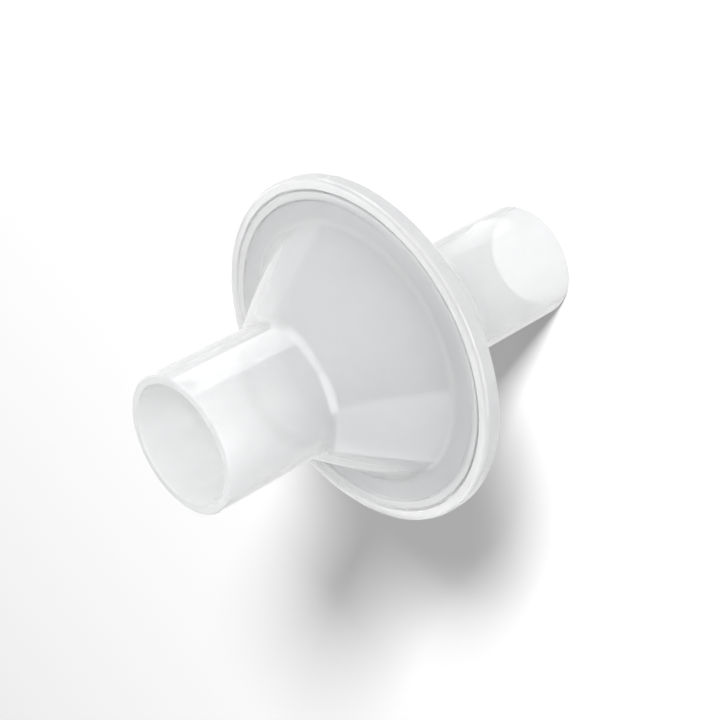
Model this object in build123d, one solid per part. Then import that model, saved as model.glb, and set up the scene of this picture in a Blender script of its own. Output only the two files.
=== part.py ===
# Breathing circuit filter: two clear moulded halves welded round a disc of filter medium.
# Millimetres. The gas path lies along Z, the outlet port stands on z = 0 and the inlet port opens upward.
from build123d import *
import math
import os

# Overall sizes
overall_length = 86.0
rim_diameter = 66.0

# Ports for 22 mm breathing tubes, drawn at the mean radius of their slight taper
inlet_bore_radius = 11.2
inlet_port_wall = 1.55
outlet_port_radius = 11.1
outlet_port_wall = 1.5

# Funnels: both flare at the same slope, in mm of radius for each mm of length
funnel_slope = 0.75
funnel_foot_radius = 25.0
funnel_wall = 1.8

# Rim, where the halves meet
outlet_flange_z = 43.3
inlet_flange_z = 46.3
floor_thickness = 1.2
clamp_gap = 0.7
weld_radius = 29.3
inlet_flange_radius = 30.6
seam_width = 0.4
bead_width = 1.7
bead_height = 0.5

# Filter medium, thick in the middle and squeezed thin between the flanges
medium_thickness = 2.4
medium_flat_radius = 21.6
medium_slope_radius = 23.2

# Roundings
port_root_rounding = 4.3
funnel_foot_rounding = 2.2
mouth_edge_rounding = 0.3
outlet_mouth_rounding = 0.9
rim_edge_rounding = 0.8
small_rounding = 0.25

# Worked out from the sizes above
inlet_port_radius = inlet_bore_radius + inlet_port_wall
outlet_bore_radius = outlet_port_radius - outlet_port_wall
rim_radius = rim_diameter / 2
radial_wall = funnel_wall * math.hypot(1, funnel_slope)
inner_foot_radius = funnel_foot_radius - radial_wall
inner_root_rounding = port_root_rounding - funnel_wall
medium_z = outlet_flange_z + floor_thickness
clamp_z = medium_z + clamp_gap
bead_z = inlet_flange_z + bead_height
bead_inner_radius = inlet_flange_radius - bead_width
lip_radius = inlet_flange_radius + seam_width


def funnel_length(foot_radius, port_radius):
    # Length along Z in which a funnel narrows from its foot to a port.
    return (foot_radius - port_radius) / funnel_slope


def turned(corners):
    # A solid of revolution about Z from a closed outline of corners, each one (radius, z, rounding).
    outline = [(radius, z) for radius, z, rounding in corners]
    roundings = [rounding for radius, z, rounding in corners]
    with BuildPart() as body:
        with BuildSketch(Plane.XZ):
            with BuildLine():
                FilletPolyline(*outline, radius=roundings, close=True)
            make_face()
        revolve(axis=Axis.Z)
    return body.part


def inlet_housing():
    # Inlet half: socket for the tube, funnel, and a flange with a raised bead round its edge.
    outer_root_z = inlet_flange_z + funnel_length(funnel_foot_radius, inlet_port_radius)
    inner_root_z = inlet_flange_z + funnel_length(inner_foot_radius, inlet_bore_radius)
    inner_edge_radius = inner_foot_radius + funnel_slope * (inlet_flange_z - clamp_z)
    return turned([
        (inlet_bore_radius, overall_length, mouth_edge_rounding),
        (inlet_port_radius, overall_length, mouth_edge_rounding),
        (inlet_port_radius, outer_root_z, port_root_rounding),
        (funnel_foot_radius, inlet_flange_z, funnel_foot_rounding),
        (bead_inner_radius, inlet_flange_z, small_rounding),
        (bead_inner_radius + bead_height / 2, bead_z, small_rounding),
        (inlet_flange_radius, bead_z, small_rounding),
        (inlet_flange_radius, clamp_z, 0),
        (inner_edge_radius, clamp_z, small_rounding),
        (inlet_bore_radius, inner_root_z, inner_root_rounding),
    ])


def outlet_housing():
    # Outlet half: plug-in port, funnel, a seat for the medium, and a lip that stands round the inlet flange.
    outer_root_z = outlet_flange_z - funnel_length(funnel_foot_radius, outlet_port_radius)
    inner_root_z = outlet_flange_z - funnel_length(inner_foot_radius, outlet_bore_radius)
    inner_edge_radius = inner_foot_radius + funnel_slope * floor_thickness
    return turned([
        (outlet_port_radius, 0, outlet_mouth_rounding),
        (outlet_bore_radius, 0, small_rounding),
        (outlet_bore_radius, inner_root_z, inner_root_rounding),
        (inner_edge_radius, medium_z, small_rounding),
        (weld_radius, medium_z, 0),
        (weld_radius, clamp_z, 0),
        (lip_radius, clamp_z, 0),
        (lip_radius, bead_z, small_rounding),
        (rim_radius, bead_z, rim_edge_rounding),
        (rim_radius, outlet_flange_z, rim_edge_rounding),
        (funnel_foot_radius, outlet_flange_z, funnel_foot_rounding),
        (outlet_port_radius, outer_root_z, port_root_rounding),
    ])


def filter_medium():
    # Pad of nonwoven: its edge fills the gap between the flanges, and its middle swells into both funnels.
    swell = (medium_thickness - clamp_gap) / 2
    return turned([
        (0, medium_z - swell, 0),
        (medium_flat_radius, medium_z - swell, swell),
        (medium_slope_radius, medium_z, 0),
        (weld_radius, medium_z, 0),
        (weld_radius, clamp_z, 0),
        (medium_slope_radius, clamp_z, 0),
        (medium_flat_radius, clamp_z + swell, swell),
        (0, clamp_z + swell, 0),
    ])


os.makedirs("parts", exist_ok=True)
export_step(inlet_housing(), "parts/inlet_housing.step")
export_step(outlet_housing(), "parts/outlet_housing.step")
export_step(filter_medium(), "parts/filter_medium.step")
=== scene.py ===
import math
import bpy
import numpy as np
from mathutils import Matrix, Vector


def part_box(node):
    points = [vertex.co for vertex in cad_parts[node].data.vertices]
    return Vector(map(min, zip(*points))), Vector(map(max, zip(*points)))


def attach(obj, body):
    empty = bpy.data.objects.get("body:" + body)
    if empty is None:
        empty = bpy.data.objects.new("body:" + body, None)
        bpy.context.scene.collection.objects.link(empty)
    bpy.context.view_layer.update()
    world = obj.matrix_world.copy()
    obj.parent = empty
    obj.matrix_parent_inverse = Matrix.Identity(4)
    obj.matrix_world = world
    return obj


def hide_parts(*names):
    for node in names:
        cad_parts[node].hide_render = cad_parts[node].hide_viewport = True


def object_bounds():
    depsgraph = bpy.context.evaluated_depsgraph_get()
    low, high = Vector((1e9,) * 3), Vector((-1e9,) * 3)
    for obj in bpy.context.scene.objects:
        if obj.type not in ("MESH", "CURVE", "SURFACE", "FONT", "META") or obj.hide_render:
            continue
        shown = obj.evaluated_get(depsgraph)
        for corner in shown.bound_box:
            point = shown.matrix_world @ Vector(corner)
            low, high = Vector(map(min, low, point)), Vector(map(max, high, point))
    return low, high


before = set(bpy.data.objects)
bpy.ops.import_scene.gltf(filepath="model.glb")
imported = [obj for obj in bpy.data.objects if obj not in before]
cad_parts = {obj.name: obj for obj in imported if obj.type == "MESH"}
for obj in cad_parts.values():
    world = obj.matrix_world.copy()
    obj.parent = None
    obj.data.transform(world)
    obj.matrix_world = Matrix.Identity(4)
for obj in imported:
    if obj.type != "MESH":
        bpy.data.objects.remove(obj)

mm = 0.001
cadBox = [list(corner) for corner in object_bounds()]
inletLow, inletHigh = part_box("inlet_housing")
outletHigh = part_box("outlet_housing")[1]
padLow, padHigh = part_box("filter_medium")


# Surfaces of revolution

# Each corner becomes an arc of as many points as steps, tangent to the straight lines before and after it.
# The direction of travel turns evenly along the arc, and the surface normal points to its right.
def roundedOutline(corners, steps):
    corners = np.array(corners, float)
    points, radii = corners[:, :2], corners[:, 2]
    ahead = np.roll(points, -1, 0) - points
    ahead /= np.linalg.norm(ahead, axis=1, keepdims=True)
    behind = np.roll(ahead, 1, 0)
    turn = np.arctan2(behind[:, 0] * ahead[:, 1] - behind[:, 1] * ahead[:, 0], (behind * ahead).sum(1))
    start = points - behind * (radii * np.tan(np.abs(turn) / 2))[:, None]
    heading = np.arctan2(behind[:, 1], behind[:, 0])[:, None] + turn[:, None] * np.linspace(0, 1, steps)
    left = np.stack([-np.sin(heading), np.cos(heading)], -1)
    swing = (radii * np.sign(turn))[:, None, None]
    arcs = start[:, None] + swing * (left[:, :1] - left)
    return arcs.reshape(-1, 2), -left.reshape(-1, 2)


# A closed outline of radius and height, in mm, carried round Z: x = radius cos a, y = radius sin a.
def turnedShell(name, corners, arcSteps, around):
    outline, facing = roundedOutline(corners, arcSteps)
    angle = np.linspace(0, 2 * np.pi, around, endpoint=False)
    spin = np.stack([np.cos(angle), np.sin(angle)], -1)

    def swept(profile):
        flat = profile[:, None, :1] * spin[None]
        height = np.broadcast_to(profile[:, None, 1:], (len(profile), around, 1))
        return np.concatenate([flat, height], -1).reshape(-1, 3)

    ring, step = np.meshgrid(np.arange(len(outline)), np.arange(around), indexing="ij")
    nextRing, nextStep = (ring + 1) % len(outline), (step + 1) % around
    quads = np.stack([ring * around + step, ring * around + nextStep,
                      nextRing * around + nextStep, nextRing * around + step], -1).reshape(-1, 4)
    mesh = bpy.data.meshes.new(name)
    mesh.from_pydata((swept(outline) * mm).tolist(), [], quads.tolist())
    mesh.shade_smooth()
    mesh.normals_split_custom_set_from_vertices(swept(facing).tolist())
    mesh.update()
    piece = bpy.data.objects.new(name, mesh)
    bpy.context.scene.collection.objects.link(piece)
    return piece


# Housings, in mm

housing = {
    "funnelSlope": 0.75,           # radius gained per mm of length
    "funnelFoot": 25.0,            # radius at the flange
    "funnelWall": 1.8,
    "inletBore": 11.2,             # radius, as for the outlet port
    "inletWall": 1.55,
    "outletPort": 11.1,
    "outletWall": 1.5,
    "beadWidth": 1.7,
    "beadHeight": 0.5,
    "seam": 0.4,                   # between the bead and the lip
    "rimThickness": 3.5,
    "floor": 1.2,                  # under the pad's edge
    "clampGap": 0.7,
    "padEdge": 29.3,
    "rootRounding": 4.3,
    "footRounding": 2.2,
    "mouthRounding": 0.3,
    "outletMouthRounding": 0.9,
    "rimRounding": 0.8,
    "smallRounding": 0.25,
    "cornerRounding": 0.08,
    "arcSteps": 9,
    "around": 224,
}


# Inlet half, from the bore's mouth down inside, out under the flange, over the bead and up the funnel.
def inletShell(h):
    top = inletHigh.z / mm
    clampZ = inletLow.z / mm
    flange = inletHigh.x / mm
    beadZ = outletHigh.z / mm
    faceZ = beadZ - h["beadHeight"]
    innerFoot = h["funnelFoot"] - h["funnelWall"] * math.hypot(1, h["funnelSlope"])
    port = h["inletBore"] + h["inletWall"]
    rootZ = faceZ + (h["funnelFoot"] - port) / h["funnelSlope"]
    innerRootZ = faceZ + (innerFoot - h["inletBore"]) / h["funnelSlope"]
    bead = flange - h["beadWidth"]
    corners = [
        (h["inletBore"], top, h["mouthRounding"]),
        (h["inletBore"], innerRootZ, h["rootRounding"] - h["funnelWall"]),
        (innerFoot + h["funnelSlope"] * (faceZ - clampZ), clampZ, h["smallRounding"]),
        (flange, clampZ, h["cornerRounding"]),
        (flange, beadZ, h["smallRounding"]),
        (bead + h["beadHeight"] / 2, beadZ, h["smallRounding"]),
        (bead, faceZ, h["smallRounding"]),
        (h["funnelFoot"], faceZ, h["footRounding"]),
        (port, rootZ, h["rootRounding"]),
        (port, top, h["mouthRounding"]),
    ]
    return turnedShell("inlet_shell", corners, h["arcSteps"], h["around"])


# Outlet half, up the port and the funnel's outside, round the rim, and back in over the pad's seat.
def outletShell(h):
    beadZ = outletHigh.z / mm
    rim = outletHigh.x / mm
    flange = inletHigh.x / mm
    backZ = beadZ - h["rimThickness"]
    floorZ = backZ + h["floor"]
    clampZ = floorZ + h["clampGap"]
    innerFoot = h["funnelFoot"] - h["funnelWall"] * math.hypot(1, h["funnelSlope"])
    bore = h["outletPort"] - h["outletWall"]
    rootZ = backZ - (h["funnelFoot"] - h["outletPort"]) / h["funnelSlope"]
    innerRootZ = backZ - (innerFoot - bore) / h["funnelSlope"]
    corners = [
        (bore, 0, h["smallRounding"]),
        (h["outletPort"], 0, h["outletMouthRounding"]),
        (h["outletPort"], rootZ, h["rootRounding"]),
        (h["funnelFoot"], backZ, h["footRounding"]),
        (rim, backZ, h["rimRounding"]),
        (rim, beadZ, h["rimRounding"]),
        (flange + h["seam"], beadZ, h["smallRounding"]),
        (flange + h["seam"], clampZ, h["cornerRounding"]),
        (h["padEdge"], clampZ, h["cornerRounding"]),
        (h["padEdge"], floorZ, h["cornerRounding"]),
        (innerFoot + h["funnelSlope"] * h["floor"], floorZ, h["smallRounding"]),
        (bore, innerRootZ, h["rootRounding"] - h["funnelWall"]),
    ]
    return turnedShell("outlet_shell", corners, h["arcSteps"], h["around"])


# Filter pad, in mm

pad = {
    "flatRadius": 21.6,            # its full thickness reaches this far
    "slopeRadius": 23.2,           # and from here it is clamped thin
    "edgeRadius": 29.2,
    "edgeThickness": 0.58,
    "rings": 120,
    "around": 240,
    "ringCrowding": 0.7,           # under 1, rings crowd towards the edge
    "unevenness": 0.05,            # the felt's own soft lumps
    "lumps": 9,                    # waves in all directions, of these lengths
    "lumpLength": (2.5, 9.0),
    "lumpHeight": 1.6,             # of the unevenness
    "fill": 0.6,
}


# Two faces over one disc: height = middle plane +- half thickness, which eases from the clamped edge
# to the full pad by a smooth step, plus a few low waves of the felt.
def filterPad(p):
    rng = np.random.default_rng(7)
    middle = (padLow.z + padHigh.z) / 2 / mm
    full = (padHigh.z - padLow.z) / 2 / mm - p["unevenness"]
    edge = p["edgeThickness"] / 2
    radius = np.linspace(0, 1, p["rings"] + 1)[1:, None] ** p["ringCrowding"] * p["edgeRadius"]
    angle = np.linspace(0, 2 * np.pi, p["around"], endpoint=False)[None]
    x, y = radius * np.cos(angle), radius * np.sin(angle)
    rise = np.clip((p["slopeRadius"] - radius) / (p["slopeRadius"] - p["flatRadius"]), 0, 1)
    rise = rise * rise * (3 - 2 * rise)

    def waves():
        bearing = rng.uniform(0, 2 * np.pi, p["lumps"])
        length = rng.uniform(*p["lumpLength"], p["lumps"])
        phase = rng.uniform(0, 2 * np.pi, p["lumps"])
        way = x[..., None] * np.cos(bearing) + y[..., None] * np.sin(bearing)
        return np.sin(way * 2 * np.pi / length + phase).mean(-1) * p["unevenness"] * p["lumpHeight"]

    def face(side):
        lift = edge + (full - edge) * rise + np.clip(waves(), -1, 1) * rise
        z = middle + side * lift
        points = np.stack([x, y, z], -1).reshape(-1, 3)
        centre = np.array([[0, 0, middle + side * full]])
        return np.concatenate([centre, points])

    count, around = p["rings"] * p["around"] + 1, p["around"]
    top, bottom = face(1), face(-1)
    step = np.arange(around)
    nextStep = (step + 1) % around
    ring = np.arange(p["rings"] - 1)[:, None] * around + 1
    quads = np.stack([ring + step, ring + around + step, ring + around + nextStep, ring + nextStep], -1)
    quads = quads.reshape(-1, 4)
    cap = np.stack([np.zeros(around, int), 1 + step, 1 + nextStep], -1)
    outer = (p["rings"] - 1) * around + 1
    edgeBand = np.stack([outer + step, count + outer + step,
                         count + outer + nextStep, outer + nextStep], -1)
    faces = quads.tolist() + cap.tolist() + edgeBand.tolist()
    faces += (quads[:, ::-1] + count).tolist() + (cap[:, ::-1] + count).tolist()
    mesh = bpy.data.meshes.new("filter_pad")
    mesh.from_pydata((np.concatenate([top, bottom]) * mm).tolist(), [], faces)
    mesh.shade_smooth()
    piece = bpy.data.objects.new("filter_pad", mesh)
    bpy.context.scene.collection.objects.link(piece)
    return piece


# Materials

def newMaterial(name):
    material = bpy.data.materials.new(name)
    material.use_nodes = True
    return material, material.node_tree.nodes, material.node_tree.links


grainMix = {
    "fineShare": 0.35,
    "lowest": 0.45,                # the sum of both noises that gives Low, and the one that gives High
    "highest": 0.9,
}


# Soft mottling in two sizes on Object coordinates: Value runs from Low to High, and Height is for a Bump.
def grainGroup(s):
    group = bpy.data.node_groups.new("grain", "ShaderNodeTree")
    for name, default in (("Scale", 100.0), ("Fineness", 6.0), ("Low", 0.0), ("High", 1.0)):
        socket = group.interface.new_socket(name, in_out="INPUT", socket_type="NodeSocketFloat")
        socket.default_value = default
    group.interface.new_socket("Value", in_out="OUTPUT", socket_type="NodeSocketFloat")
    group.interface.new_socket("Height", in_out="OUTPUT", socket_type="NodeSocketFloat")
    nodes, links = group.nodes, group.links
    entry, end = nodes.new("NodeGroupInput"), nodes.new("NodeGroupOutput")
    place = nodes.new("ShaderNodeTexCoord")
    coarse, fine = nodes.new("ShaderNodeTexNoise"), nodes.new("ShaderNodeTexNoise")
    finer = nodes.new("ShaderNodeMath")
    finer.operation = "MULTIPLY"
    links.new(entry.outputs["Scale"], finer.inputs[0])
    links.new(entry.outputs["Fineness"], finer.inputs[1])
    links.new(entry.outputs["Scale"], coarse.inputs["Scale"])
    links.new(finer.outputs[0], fine.inputs["Scale"])
    for noise in (coarse, fine):
        noise.inputs["Detail"].default_value = 3
        links.new(place.outputs["Object"], noise.inputs["Vector"])
    both = nodes.new("ShaderNodeMath")
    both.operation = "MULTIPLY_ADD"
    both.inputs[1].default_value = s["fineShare"]
    links.new(fine.outputs["Fac"], both.inputs[0])
    links.new(coarse.outputs["Fac"], both.inputs[2])
    span = nodes.new("ShaderNodeMapRange")
    span.inputs["From Min"].default_value = s["lowest"]
    span.inputs["From Max"].default_value = s["highest"]
    links.new(both.outputs[0], span.inputs["Value"])
    links.new(entry.outputs["Low"], span.inputs["To Min"])
    links.new(entry.outputs["High"], span.inputs["To Max"])
    links.new(span.outputs["Result"], end.inputs["Value"])
    links.new(both.outputs[0], end.inputs["Height"])
    return group


def placeGrain(nodes, group, scale, fineness, low, high):
    node = nodes.new("ShaderNodeGroup")
    node.node_tree = group
    for name, value in (("Scale", scale), ("Fineness", fineness), ("Low", low), ("High", high)):
        node.inputs[name].default_value = value
    return node


def addBump(nodes, links, height, strength, distance, shader):
    bump = nodes.new("ShaderNodeBump")
    bump.inputs["Strength"].default_value = strength
    bump.inputs["Distance"].default_value = distance
    links.new(height, bump.inputs["Height"])
    links.new(bump.outputs["Normal"], shader.inputs["Normal"])


plastic = {
    "clearness": 0.69,             # the rest scatters at the skin, which makes it milky
    "ior": 1.5,
    "haze": 190,                   # per metre, so that thick places look whiter
    "hazeColor": (0.995, 0.997, 1.0),
    "lightTint": (0.985, 0.988, 0.99),
    "deepTint": (0.955, 0.962, 0.968),
    "roughness": (0.05, 0.085),
    "flowScale": 70,               # slow flow marks of the moulding, per metre
    "flowFineness": 4,
    "flowDepth": 0.00002,
    "flowStrength": 0.12,
    "polishScale": 3,              # times the flow marks'
    "polishFineness": 6,
    "hazeBounces": 12,
    "glassBounces": 32,
}


def clearPlastic(s, grain):
    material, nodes, links = newMaterial("clear_plastic")
    shader = nodes["Principled BSDF"]
    shader.inputs["Transmission Weight"].default_value = s["clearness"]
    shader.inputs["IOR"].default_value = s["ior"]
    polish = placeGrain(nodes, grain, s["flowScale"] * s["polishScale"],
                        s["polishFineness"], *s["roughness"])
    links.new(polish.outputs["Value"], shader.inputs["Roughness"])
    cloud = placeGrain(nodes, grain, s["flowScale"], s["flowFineness"], 0, 1)
    tint = nodes.new("ShaderNodeMix")
    tint.data_type = "RGBA"
    tint.inputs["A"].default_value = (*s["lightTint"], 1)
    tint.inputs["B"].default_value = (*s["deepTint"], 1)
    links.new(cloud.outputs["Value"], tint.inputs["Factor"])
    links.new(tint.outputs["Result"], shader.inputs["Base Color"])
    addBump(nodes, links, cloud.outputs["Height"], s["flowStrength"], s["flowDepth"], shader)
    volume = nodes.new("ShaderNodeVolumeScatter")
    volume.inputs["Color"].default_value = (*s["hazeColor"], 1)
    volume.inputs["Density"].default_value = s["haze"]
    links.new(volume.outputs[0], nodes["Material Output"].inputs["Volume"])
    cycles = bpy.context.scene.cycles
    cycles.volume_bounces = s["hazeBounces"]
    cycles.transmission_bounces = cycles.max_bounces = s["glassBounces"]
    return material


felt = {
    "light": (0.40, 0.435, 0.47),
    "dark": (0.34, 0.37, 0.405),
    "roughness": 0.95,
    "sheen": 0.25,
    "mottle": 260,                 # lumps per metre
    "mottleFineness": 5,
    "lays": (0.35, 1.45, 2.5),     # three lays of fibres, each turned by so many radians
    "fibreScale": 1500,
    "fibreStretch": (1.0, 0.12, 1.0),
    "fibreDepth": 0.00012,
    "fibreStrength": 0.8,
    "darkHeight": 1.7,             # summed height that shows the dark colour, and the one for the light
    "lightHeight": 2.5,
}


def feltFabric(s, grain):
    material, nodes, links = newMaterial("nonwoven_felt")
    shader = nodes["Principled BSDF"]
    shader.inputs["Roughness"].default_value = s["roughness"]
    shader.inputs["Sheen Weight"].default_value = s["sheen"]
    mottle = placeGrain(nodes, grain, s["mottle"], s["mottleFineness"], 0, 1)
    place = nodes.new("ShaderNodeTexCoord")
    height = mottle.outputs["Height"]
    for turn in s["lays"]:  # each lay is a noise drawn out along its own direction
        lay = nodes.new("ShaderNodeMapping")
        lay.inputs["Rotation"].default_value = (0, 0, turn)
        lay.inputs["Scale"].default_value = s["fibreStretch"]
        fibre = nodes.new("ShaderNodeTexNoise")
        fibre.inputs["Scale"].default_value = s["fibreScale"]
        fibre.inputs["Detail"].default_value = 2
        links.new(place.outputs["Object"], lay.inputs["Vector"])
        links.new(lay.outputs["Vector"], fibre.inputs["Vector"])
        more = nodes.new("ShaderNodeMath")
        links.new(fibre.outputs["Fac"], more.inputs[0])
        links.new(height, more.inputs[1])
        height = more.outputs[0]
    tint = nodes.new("ShaderNodeMix")
    tint.data_type = "RGBA"
    tint.inputs["A"].default_value = (*s["dark"], 1)
    tint.inputs["B"].default_value = (*s["light"], 1)
    share = nodes.new("ShaderNodeMapRange")
    share.inputs["From Min"].default_value = s["darkHeight"]
    share.inputs["From Max"].default_value = s["lightHeight"]
    links.new(height, share.inputs["Value"])
    links.new(share.outputs["Result"], tint.inputs["Factor"])
    links.new(tint.outputs["Result"], shader.inputs["Base Color"])
    addBump(nodes, links, height, s["fibreStrength"], s["fibreDepth"], shader)
    return material


# Studio

studio = {
    "floorColor": (0.38, 0.38, 0.38),
    "floorRoughness": 0.8,
    "floorSize": 4.0,
    # Share of plain white that each kind of ray sees
    "floorWhite": {"Is Camera Ray": 0.1, "Is Transmission Ray": 0.25, "Is Glossy Ray": 0.8},
    "paleSide": 1.05,              # brightness of the room behind the object
    "greySide": 0.8,               # and behind the camera
    "greyShine": 0.4,              # the same side as gloss shows it
    "greyTurn": -67,               # where the grey side faces, degrees round Z
    "sideEdge": 0.03,              # how softly one side passes into the other
}


def stage(s):
    mesh = bpy.data.meshes.new("floor")
    half = s["floorSize"] / 2
    corners = [(-half, -half, 0), (half, -half, 0), (half, half, 0), (-half, half, 0)]
    mesh.from_pydata(corners, [], [(0, 1, 2, 3)])
    floor = bpy.data.objects.new("floor", mesh)
    bpy.context.scene.collection.objects.link(floor)
    material, nodes, links = newMaterial("floor")
    shader = nodes["Principled BSDF"]
    shader.inputs["Base Color"].default_value = (*s["floorColor"], 1)
    shader.inputs["Roughness"].default_value = s["floorRoughness"]
    shader.inputs["Specular IOR Level"].default_value = 0.0
    rays = nodes.new("ShaderNodeLightPath")
    white = nodes.new("ShaderNodeEmission")
    share = None
    for ray, value in s["floorWhite"].items():
        part = nodes.new("ShaderNodeMath")
        part.operation = "MULTIPLY_ADD"
        part.inputs[1].default_value = value
        part.inputs[2].default_value = 0
        links.new(rays.outputs[ray], part.inputs[0])
        if share:
            links.new(share, part.inputs[2])
        share = part.outputs[0]
    blend = nodes.new("ShaderNodeMixShader")
    links.new(share, blend.inputs[0])
    links.new(shader.outputs[0], blend.inputs[1])
    links.new(white.outputs[0], blend.inputs[2])
    links.new(blend.outputs[0], nodes["Material Output"].inputs["Surface"])
    mesh.materials.append(material)

    world = bpy.data.worlds.new("studio")
    world.use_nodes = True
    nodes, links = world.node_tree.nodes, world.node_tree.links
    background = nodes["Background"]
    toward = nodes.new("ShaderNodeTexCoord")
    across = nodes.new("ShaderNodeVectorMath")
    across.operation = "DOT_PRODUCT"
    turn = math.radians(s["greyTurn"])
    across.inputs[1].default_value = (math.cos(turn), math.sin(turn), 0)
    links.new(toward.outputs["Generated"], across.inputs[0])
    rays = nodes.new("ShaderNodeLightPath")
    grey = nodes.new("ShaderNodeMix")
    grey.inputs["A"].default_value = s["greySide"]
    grey.inputs["B"].default_value = s["greyShine"]
    links.new(rays.outputs["Is Glossy Ray"], grey.inputs["Factor"])
    side = nodes.new("ShaderNodeMapRange")
    side.interpolation_type = "SMOOTHSTEP"
    side.inputs["From Min"].default_value = -s["sideEdge"]
    side.inputs["From Max"].default_value = s["sideEdge"]
    side.inputs["To Min"].default_value = s["paleSide"]
    links.new(grey.outputs["Result"], side.inputs["To Max"])
    links.new(across.outputs["Value"], side.inputs["Value"])
    seen = nodes.new("ShaderNodeMix")
    seen.inputs["B"].default_value = 1.0
    links.new(rays.outputs["Is Camera Ray"], seen.inputs["Factor"])
    links.new(side.outputs["Result"], seen.inputs["A"])
    links.new(seen.outputs["Result"], background.inputs["Strength"])
    background.inputs["Color"].default_value = (1, 1, 1, 1)
    bpy.context.scene.world = world


# Each lamp, in metres, degrees and watts: its size, the turn and rise at which it stands, its distance from
# its aim, a height on the axis, and its power. It faces its aim, but one that lies is level and faces up.
# One with a reach lights only the floor or only the object, and spread narrows the beam. One that shines
# doesn't light matt surfaces, and shows in gloss and in the plastic's haze.
lamps = {
    "key": {"size": (0.7, 0.7), "turn": -71, "rise": 38, "distance": 1.8, "aim": 0.04, "power": 25,
            "reach": "object"},
    "floor_key": {"size": (0.36, 0.36), "turn": -68, "rise": 31, "distance": 1.8, "aim": 0.04, "power": 128,
                  "reach": "floor"},
    "back_fill": {"size": (1.0, 1.0), "turn": 40, "rise": 20, "distance": 1.8, "aim": 0.04, "power": 19,
                  "reach": "object"},
    "mouth_light": {"size": (0.01, 0.01), "turn": -90, "rise": 38, "distance": 0.35, "aim": 0.08,
                    "power": 0.0005, "spread": 8, "reach": "object"},
    "strip": {"size": (0.075, 0.036), "turn": -13, "rise": 0, "distance": 0.085, "aim": 0.022,
              "power": 0.022, "shine": True},
    "strip_low": {"size": (0.018, 0.03), "turn": -13, "rise": 0, "distance": 0.031, "aim": 0.0004,
                  "power": 0.002, "shine": True, "lying": True},
    "edge_a": {"size": (0.24, 0.10), "turn": -52, "rise": 0, "distance": 0.15, "aim": 0.056, "power": 0.26,
               "shine": True},
    "edge_b": {"size": (0.17, 0.10), "turn": -124, "rise": 0, "distance": 0.15, "aim": 0.056, "power": 0.24,
               "shine": True},
    "side_card": {"size": (1.35, 0.8), "turn": -191, "rise": 21, "distance": 1.0, "aim": 0.05, "power": 4.2,
                  "shine": True},
}


# The lamp stands at its distance from the aim, in the direction of its turn and rise.
def hangLamp(name, s, reaches):
    data = bpy.data.lights.new(name, "AREA")
    data.shape = "RECTANGLE"
    data.size, data.size_y = s["size"]
    data.energy = s["power"]
    data.spread = math.radians(s.get("spread", 180))
    lamp = bpy.data.objects.new(name, data)
    turn, rise = math.radians(s["turn"]), math.radians(s["rise"])
    way = Vector((math.cos(rise) * math.cos(turn), math.cos(rise) * math.sin(turn), math.sin(rise)))
    lamp.location = way * s["distance"] + Vector((0, 0, s["aim"]))
    if s.get("lying"):
        lamp.rotation_euler = (math.pi, 0, turn + math.pi / 2)
    else:
        lamp.rotation_euler = way.to_track_quat("Z", "Y").to_euler()
    shine = s.get("shine", False)
    lamp.visible_camera = lamp.visible_transmission = False
    lamp.visible_diffuse, lamp.visible_glossy = not shine, shine
    bpy.context.scene.collection.objects.link(lamp)
    if "reach" in s:
        lamp.light_linking.receiver_collection = reaches[s["reach"]]


# Camera, fitted to the photo. Its view is turned, because the filter lies down there.
view = {
    "lens": 91.56,
    "sensor": 36.0,
    "clip": (0.01, 20),
    "place": (-1.704, -267.58, 146.91),  # mm from the middle of the inlet's mouth
    "forward": (0.0, 0.81923, -0.57346),
    "right": (-0.47742, -0.50388, -0.71984),
}


def photoCamera(v):
    data = bpy.data.cameras.new("photo_view")
    data.lens = v["lens"]
    data.sensor_width = v["sensor"]
    data.clip_start, data.clip_end = v["clip"]
    camera = bpy.data.objects.new("photo_view", data)
    forward, right = Vector(v["forward"]).normalized(), Vector(v["right"])
    up = right.cross(forward).normalized()
    right = forward.cross(up).normalized()
    turned = Matrix((right, up, -forward)).transposed().to_4x4()
    turned.translation = Vector(v["place"]) * mm + Vector((0, 0, cadBox[1][2]))
    camera.matrix_world = turned
    bpy.context.scene.collection.objects.link(camera)
    bpy.context.scene.camera = camera


photoCamera(view)
print("camera in place")
stage(studio)
reaches = {name: bpy.data.collections.new("reach_" + name) for name in ("floor", "object")}
reaches["floor"].objects.link(bpy.data.objects["floor"])
for name, settings in lamps.items():
    hangLamp(name, settings, reaches)
bpy.context.scene.view_settings.view_transform = "Standard"
print("floor, room and lamps in place")

grain = grainGroup(grainMix)
clear = clearPlastic(plastic, grain)
pieces = [
    (inletShell(housing), "inlet_housing", "clear_housing", clear),
    (outletShell(housing), "outlet_housing", "clear_housing", clear),
    (filterPad(pad), "filter_medium", "filter_medium", feltFabric(felt, grain)),
]
for piece, node, slot, material in pieces:
    piece.data.materials.append(material)
    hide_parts(node)
    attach(piece, "root")
    reaches["object"].objects.link(piece)
    print(piece.name, "in place")
